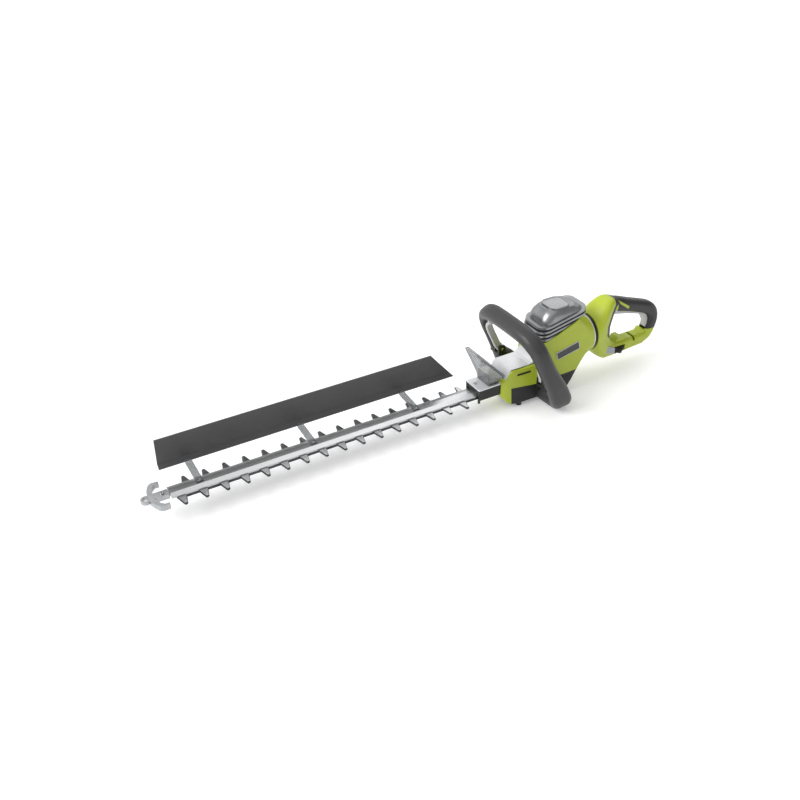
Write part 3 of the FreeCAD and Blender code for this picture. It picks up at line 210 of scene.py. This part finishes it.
def brushed(name, dark, light, along, rough=(0.22, 0.38), strength=0.25, **fixed):
    """Ground or brushed metal with grinding lines along one axis."""
    g = Graph(name)
    lines = g.noise(GRIND_SCALE, rough=0.6, stretch=along)
    patches = g.noise(14.0, detail=4.0, rough=0.6)
    mixed = g.scaled(lines, 0.6, added=g.scaled(patches, 0.4))
    tint = g.ramp(mixed, [(0.3, dark), (0.7, light)])
    normal = g.bump(lines, strength, GRIND_DEPTH)
    return g.paint(tint, g.ranged(lines, *rough), normal, Metallic=1.0, **fixed)


def blade_steel():
    """Hardened blade steel: bright ground faces, painted shade on the edges (every bevel and side not
    facing along the part's z axis is painted near-black), and a few dull marks.
    """
    g = Graph("blade_steel")
    lines = g.noise(700.0, rough=0.6, stretch=(1.0, 0.03, 1.0))
    marks = g.noise(60.0, detail=6.0, rough=0.7)
    bright = g.ramp(lines, [(0.3, (0.40, 0.41, 0.42)), (0.7, (0.62, 0.63, 0.64))])
    # scale here is painted shade: the near-black colour that bevels and sides get in place of their
    # shading, varied by the dull marks.
    scale = g.ramp(marks, [(0.35, (0.035, 0.036, 0.04)), (0.65, (0.09, 0.092, 0.097))])
    # Only faces along the part's z axis keep the bright steel; every other face is painted with the dark
    # shade colour.
    flat_face = g.ranged(g.facing("Z"), 0.0, 1.0, start=0.90, end=0.985)
    mix = g.add("ShaderNodeMix", data_type="RGBA")
    g.link(flat_face, mix.inputs["Factor"])
    g.link(scale, mix.inputs[6])
    g.link(bright, mix.inputs[7])
    rough = g.ranged(marks, 0.24, 0.42)
    return g.paint(mix.outputs[2], rough, g.bump(lines, 0.3, GRIND_DEPTH), Metallic=1.0)


def cast(name, dark, light, rough=(0.38, 0.55), grain=420.0, metallic=1.0, depth=0.5, **fixed):
    """Die-cast metal: shallow pitted skin with cloudy tone."""
    g = Graph(name)
    cloud = g.noise(26.0, detail=5.0, rough=0.65)
    pits = g.noise(grain, detail=4.0, rough=0.7)
    normal = g.bump(pits, depth, PIT_DEPTH)
    tint = g.ramp(cloud, [(0.32, dark), (0.68, light)])
    return g.paint(tint, g.ranged(pits, *rough), normal, Metallic=metallic, **fixed)


def clear(name, tint, rough):
    """Clear plastic with a faint tint and long scuffs."""
    g = Graph(name)
    scuffs = g.noise(240.0, detail=5.0, rough=0.7, stretch=(1.0, 0.25, 1.0))
    faint = g.ramp(g.noise(12.0), [(0.3, tint), (0.7, shade(tint, 1.03))])
    normal = g.bump(scuffs, 0.12, SCUFF_DEPTH)
    return g.paint(faint, g.ranged(scuffs, *rough), normal, Transmission_Weight=0.78, IOR=1.49)


def laminated(name):
    """Stacked electrical steel sheets."""
    g = Graph(name)
    wave = g.add("ShaderNodeTexWave", bands_direction="Z")
    wave.inputs["Scale"].default_value = 320.0
    wave.inputs["Distortion"].default_value = 0.4
    g.link(g.place, wave.inputs["Vector"])
    sheets = wave.outputs["Fac"]
    tint = g.ramp(sheets, [(0.2, (0.08, 0.08, 0.085)), (0.8, (0.30, 0.30, 0.31))])
    rough = g.ranged(g.noise(90.0), 0.4, 0.6)
    return g.paint(tint, rough, g.bump(sheets, 0.6, SHEET_DEPTH), Metallic=1.0)


def floor_finish():
    """A pale even floor that glows a little, so that it stays near white away from the key light."""
    g = Graph("studio_floor")
    tint = g.ramp(g.noise(1.4, detail=4.0), [(0.3, (0.78, 0.78, 0.78)), (0.7, (0.80, 0.80, 0.80))])
    normal = g.bump(g.noise(900.0), 0.05, 0.0001)
    glow = {"Emission_Color": (1, 1, 1, 1), "Emission_Strength": 0.26}
    return g.paint(tint, g.ranged(g.noise(60.0), 0.55, 0.7), normal, **glow)


MOULDED = {
    "carbon": dict(
        colour=(0.022, 0.022, 0.023), rough=(0.55, 0.75), grain=1500.0, depth=0.8, mottle=0.2
    ),
    "badge_plastic": dict(
        colour=(0.016, 0.016, 0.018), rough=(0.14, 0.22), grain=1500.0, depth=0.06, mottle=0.1
    ),
    "lime_plastic": dict(
        colour=(0.375, 0.452, 0.020), rough=(0.36, 0.48), grain=2400.0, depth=0.28, mottle=0.045
    ),
    "black_plastic": dict(
        colour=(0.009, 0.009, 0.0095), rough=(0.36, 0.50), grain=2000.0, depth=0.4, mottle=0.12,
        Specular_IOR_Level=0.36,
    ),
    "grip_plastic": dict(
        colour=(0.036, 0.036, 0.037), rough=(0.34, 0.46), grain=1500.0, depth=0.22, mottle=0.08,
        Specular_IOR_Level=0.36,
    ),
    "lever_plastic": dict(
        colour=(0.42, 0.42, 0.43), rough=(0.34, 0.46), grain=2000.0, depth=0.3, mottle=0.05
    ),
    "soft_rubber": dict(
        colour=(0.015, 0.0145, 0.0145), rough=(0.34, 0.48), grain=1300.0, depth=0.3, mottle=0.12,
        Specular_IOR_Level=0.42,
    ),
    "sweep_plastic": dict(
        colour=(0.070, 0.070, 0.072), rough=(0.34, 0.48), grain=900.0, depth=0.35, mottle=0.1
    ),
    "rim_light": dict(
        colour=(0.42, 0.43, 0.44), rough=(0.2, 0.3), grain=1500.0, depth=0.1, mottle=0.05
    ),
    "label_face": dict(
        colour=(0.30, 0.33, 0.37), rough=(0.25, 0.35), grain=1500.0, depth=0.08, mottle=0.06
    ),
}
BRUSHED = {
    "bar_steel": dict(
        dark=(0.50, 0.505, 0.51), light=(0.64, 0.645, 0.65), along=(0.02, 1.0, 1.0),
        rough=(0.26, 0.36), strength=0.12,
    ),
    "fastener_steel": dict(dark=(0.33, 0.33, 0.34), light=(0.62, 0.62, 0.63), along=(1, 1, 0.1)),
    "gear_steel": dict(dark=(0.30, 0.30, 0.31), light=(0.58, 0.58, 0.59), along=(1, 1, 0.08)),
    "bearing_steel": dict(
        dark=(0.50, 0.50, 0.51), light=(0.78, 0.78, 0.79), along=(1, 1, 0.1), rough=(0.12, 0.2)
    ),
    "copper": dict(dark=(0.42, 0.16, 0.07), light=(0.80, 0.40, 0.24), along=(1, 1, 0.1)),
}
CAST = {
    "cast_grey": dict(dark=(0.36, 0.37, 0.38), light=(0.50, 0.51, 0.52)),
    "bright_cover": dict(
        dark=(0.60, 0.61, 0.62), light=(0.68, 0.69, 0.70), rough=(0.32, 0.42), grain=1500.0,
        metallic=0.45, depth=0.08,
    ),
    "cap_metal": dict(
        dark=(0.20, 0.204, 0.21), light=(0.27, 0.275, 0.285), rough=(0.27, 0.36), grain=2600.0,
        metallic=0.85, depth=0.03, Coat_Weight=0.15, Coat_Roughness=0.2,
    ),
    "badge_metal": dict(
        dark=(0.27, 0.273, 0.28), light=(0.34, 0.343, 0.35), rough=(0.2, 0.3), grain=1500.0,
        metallic=0.85, depth=0.03,
    ),
}


def make_materials():
    made = {"blade_steel": blade_steel(), "lamination": laminated("lamination")}
    made["clear_plastic"] = clear("clear_plastic", tint=(0.32, 0.33, 0.335), rough=(0.06, 0.16))
    for finish, table in ((moulded, MOULDED), (brushed, BRUSHED), (cast, CAST)):
        for name, look in table.items():
            made[name] = finish(name, **look)
    return made


# ---------------------------------------------------------------- finer copies of CAD nodes

FINE_EDGE = {
    "left_shell": 0.0005, "right_shell": 0.0005, "lower_housing": 0.0006, "gear_cover": 0.0006,
    "motor_cap": 0.0005, "cap_badge": 0.0004, "swivel_collar": 0.0004, "swivel_trim": 0.0003,
    "vent_panels": 0.0003, "cover_screws": 0.0002, "blade_bracket": 0.0008, "bracket_plate": 0.0005,
    "bracket_screws": 0.0002, "tip_protector": 0.0008, "tip_screw": 0.0003, "bar_screws": 0.0002,
    "blade_bar": 0.0003, "upper_blade": 0.00035, "lower_blade": 0.00035, "sweep_plate": 0.0004,
    "sweep_clips": 0.0003, "sweep_screws": 0.0002, "hand_guard": 0.0005, "rubber_feet": 0.0006,
    "front_handle_front": 0.0006, "front_handle_rear": 0.0006, "front_handle_screws": 0.0002,
    "switch_bail": 0.0005, "bail_brackets": 0.0006, "bail_pins": 0.0003, "rear_handle_left": 0.0005,
    "rear_handle_right": 0.0005, "grip_overmould": 0.0004, "rear_trigger": 0.0006,
    "release_slider": 0.0003, "cord_gland": 0.0005, "side_badges": 0.0003, "label_plate": 0.0003,
}
BEVEL_SEGMENTS = 2
FLAT_DEG = 0.4
EDGE_DEG = 38.0
SHARP_DEG = 48.0
WELD = 2e-6
SLIVER = 1e-7
BROAD_FACES_WEIGHT = 60
FRAMED = {
    "side_badges": (0.0011, "rim_light", "badge_plastic"),
    "label_plate": (0.0011, "rim_light", "label_face"),
    "cap_badge": (0.0014, "rim_light", "badge_metal"),
}
BROAD_SHARE = 0.55
DOWN_LIMIT = 0.3
RIM_STEP_WIDTH = 0.0002
RIM_STEP_DEPTH = 0.00025


def framed_faces(bm, width):
    """Sinks each badge's broad face a little inside a rim. Returns the sunk faces."""
    largest = max(f.calc_area() for f in bm.faces)
    down = Vector((0, 0, -1))
    broad = [
        f for f in bm.faces if f.calc_area() > BROAD_SHARE * largest and f.normal.dot(down) < DOWN_LIMIT
    ]
    bmesh.ops.inset_individual(bm, faces=broad, thickness=width, depth=0.0)
    bmesh.ops.inset_individual(bm, faces=broad, thickness=RIM_STEP_WIDTH, depth=-RIM_STEP_DEPTH)
    return broad


def smooth_piece(name, mesh):
    """Shades a mesh smooth but for its sharp edges, and puts it in the scene."""
    mesh.polygons.foreach_set("use_smooth", [True] * len(mesh.polygons))
    mesh.set_sharp_from_angle(angle=math.radians(SHARP_DEG))
    piece = bpy.data.objects.new(name, mesh)
    scene.collection.objects.link(piece)
    return piece


def fine_copy(node, materials):
    """A copy of a CAD node's mesh with its seams welded and its sharp outer edges rounded."""
    bm = bmesh.new()
    bm.from_mesh(nodes[node].data)
    bmesh.ops.remove_doubles(bm, verts=bm.verts, dist=WELD)
    bmesh.ops.dissolve_degenerate(bm, dist=WELD, edges=bm.edges)
    bmesh.ops.dissolve_limit(
        bm, angle_limit=math.radians(FLAT_DEG), verts=bm.verts, edges=bm.edges, delimit={"NORMAL"}
    )
    limit = math.radians(EDGE_DEG)
    paired = [e for e in bm.edges if len(e.link_faces) == 2]
    edges = [e for e in paired if e.is_convex and e.calc_face_angle(0) > limit]
    if edges:
        bmesh.ops.bevel(
            bm, geom=edges, offset=FINE_EDGE[node], offset_type="OFFSET", segments=BEVEL_SEGMENTS,
            profile=0.5, affect="EDGES", clamp_overlap=True,
        )
    bmesh.ops.remove_doubles(bm, verts=bm.verts, dist=SLIVER)
    inner = framed_faces(bm, FRAMED[node][0]) if node in FRAMED else []
    bm.verts.index_update()
    bm.faces.index_update()
    inner_ids = {f.index for f in inner}
    mesh = bpy.data.meshes.new(node + "_fine")
    mesh.from_pydata([v.co.copy() for v in bm.verts], [], [[v.index for v in f.verts] for f in bm.faces])
    bm.free()
    slots = FRAMED[node][1:] if node in FRAMED else (SLOT_OF[node],)
    for slot in slots:
        mesh.materials.append(materials[slot])
    for polygon in mesh.polygons:
        polygon.material_index = 1 if polygon.index in inner_ids else 0
    piece = smooth_piece(node + "_fine", mesh)
    weighted = piece.modifiers.new("even_faces", "WEIGHTED_NORMAL")
    weighted.keep_sharp = True
    weighted.weight = BROAD_FACES_WEIGHT
    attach(piece, BODY_OF[node])
    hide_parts(node)


def finish_nodes(materials):
    """Gives each visible node its fine copy, and each hidden one its own material."""
    for node, cad in nodes.items():
        if node in FINE_EDGE:
            fine_copy(node, materials)
        else:
            cad.data.materials.clear()
            cad.data.materials.append(materials[SLOT_OF[node]])


# ---------------------------------------------------------------- side vents, drawn as black patches of painted shade

VENT_HALF_LENGTH = 0.0165
VENT_HALF_WIDTH = 0.0017
VENT_CORNER_STEPS = 6
VENT_BELOW_COVER = 0.0115
OUTSIDE = 0.2
VENT_RINGS = [(0.0011, -0.0002), (0.0007, 0.0003), (0.0, 0.0003), (-0.0004, 0.0001), (-0.0010, 0.0001)]


def vent_middle():
    """The x and z of the slots' middle: halfway along the cover's gasket and a little below it."""
    low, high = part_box("cover_gasket")
    return (low[0] + high[0]) / 2, low[2] - VENT_BELOW_COVER


def vent_outline(grow):
    """A long slot's outline with round ends, as x and z from its middle."""
    half = VENT_HALF_LENGTH + grow
    radius = VENT_HALF_WIDTH + grow
    points = []
    for side in (1, -1):
        for step in range(VENT_CORNER_STEPS + 1):
            angle = math.pi * (step / VENT_CORNER_STEPS - 0.5)
            x = side * (half - radius + radius * math.cos(angle))
            points.append((x, side * radius * math.sin(angle)))
    return points


def vent_shade_patch(name, out, materials):
    """A vent slot on the gear end's side as painted shade: a black patch with a lip 0.3 mm proud of the
    shell around a lower face, laid on the shell in place of an opening.
    """
    shell = nodes["left_shell" if out > 0 else "right_shell"].data
    target = BVHTree.FromPolygons([v.co for v in shell.vertices], [f.vertices for f in shell.polygons])
    middle_x, middle_z = vent_middle()
    vertices = []
    for grow, lift in VENT_RINGS:
        for x, z in vent_outline(grow):
            start = Vector((middle_x + x, out * OUTSIDE, middle_z + z))
            surface = target.ray_cast(start, Vector((0, -out, 0)))[0]
            vertices.append((start.x, surface.y + out * lift, start.z))
    count = len(vertices) // len(VENT_RINGS)
    faces = []
    for ring in range(len(VENT_RINGS) - 1):
        a = ring * count
        b = a + count
        for i in range(count):
            j = (i + 1) % count
            faces.append((a + i, a + j, b + j, b + i))
    faces.append(tuple(range(len(vertices) - count, len(vertices))))
    if out > 0:
        faces = [tuple(reversed(face)) for face in faces]
    mesh = bpy.data.meshes.new(name)
    mesh.from_pydata(vertices, [], faces)
    # The black stands for the shade inside the vent opening: painted shade, not a hole.
    mesh.materials.append(materials["black_plastic"])
    piece = smooth_piece(name, mesh)
    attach(piece, BODY_OF["left_shell"])


# ---------------------------------------------------------------- studio

FLOOR_REACH = 14.0
BRIGHT_SIDE = (0.56, -0.42, 0.72)
DIM_STOP = (0.05, (0.48, 0.48, 0.49, 1))
BRIGHT_STOP = (0.62, (1.0, 1.0, 1.0, 1))
WORLD_STRENGTH = 0.95
LIGHTS = {
    "key": dict(place=(1.8, -0.25, 1.35), angle_deg=36, strength=2.5),
    "rim": dict(place=(-1.3, -1.0, 1.4), angle_deg=50, strength=0.5),
}


def soft_light(name, place, angle_deg, strength):
    """A broad even light that shines from a place towards the part."""
    data = bpy.data.lights.new(name, "SUN")
    data.angle = math.radians(angle_deg)
    data.energy = strength
    lamp = bpy.data.objects.new(name, data)
    lamp.location = place
    lamp.rotation_euler = Vector(place).to_track_quat("Z", "Y").to_euler()
    scene.collection.objects.link(lamp)


def make_floor():
    mesh = bpy.data.meshes.new("floor")
    reach = FLOOR_REACH
    corners = [(-reach, -reach, 0), (reach, -reach, 0), (reach, reach, 0), (-reach, reach, 0)]
    mesh.from_pydata(corners, [], [(0, 1, 2, 3)])
    mesh.materials.append(floor_finish())
    floor = bpy.data.objects.new("floor", mesh)
    scene.collection.objects.link(floor)


def make_world():
    """A white surround, dimmer on the side away from BRIGHT_SIDE."""
    world = bpy.data.worlds.new("studio")
    scene.world = world
    world.use_nodes = True
    tree = world.node_tree
    sky = tree.nodes.new("ShaderNodeTexCoord")
    toward = tree.nodes.new("ShaderNodeVectorMath")
    toward.operation = "DOT_PRODUCT"
    toward.inputs[1].default_value = BRIGHT_SIDE
    ramp = tree.nodes.new("ShaderNodeValToRGB")
    for part, (place, colour) in zip(ramp.color_ramp.elements, (DIM_STOP, BRIGHT_STOP)):
        part.position = place
        part.color = colour
    background = tree.nodes["Background"]
    tree.links.new(sky.outputs["Generated"], toward.inputs[0])
    tree.links.new(toward.outputs["Value"], ramp.inputs["Fac"])
    tree.links.new(ramp.outputs["Color"], background.inputs["Color"])
    background.inputs["Strength"].default_value = WORLD_STRENGTH


make_camera()
made_materials = make_materials()
finish_nodes(made_materials)
vent_shade_patch("left_vent_shade", 1, made_materials)
vent_shade_patch("right_vent_shade", -1, made_materials)
make_floor()
make_world()
for light_name, light in LIGHTS.items():
    soft_light(light_name, **light)
bpy.context.view_layer.update()
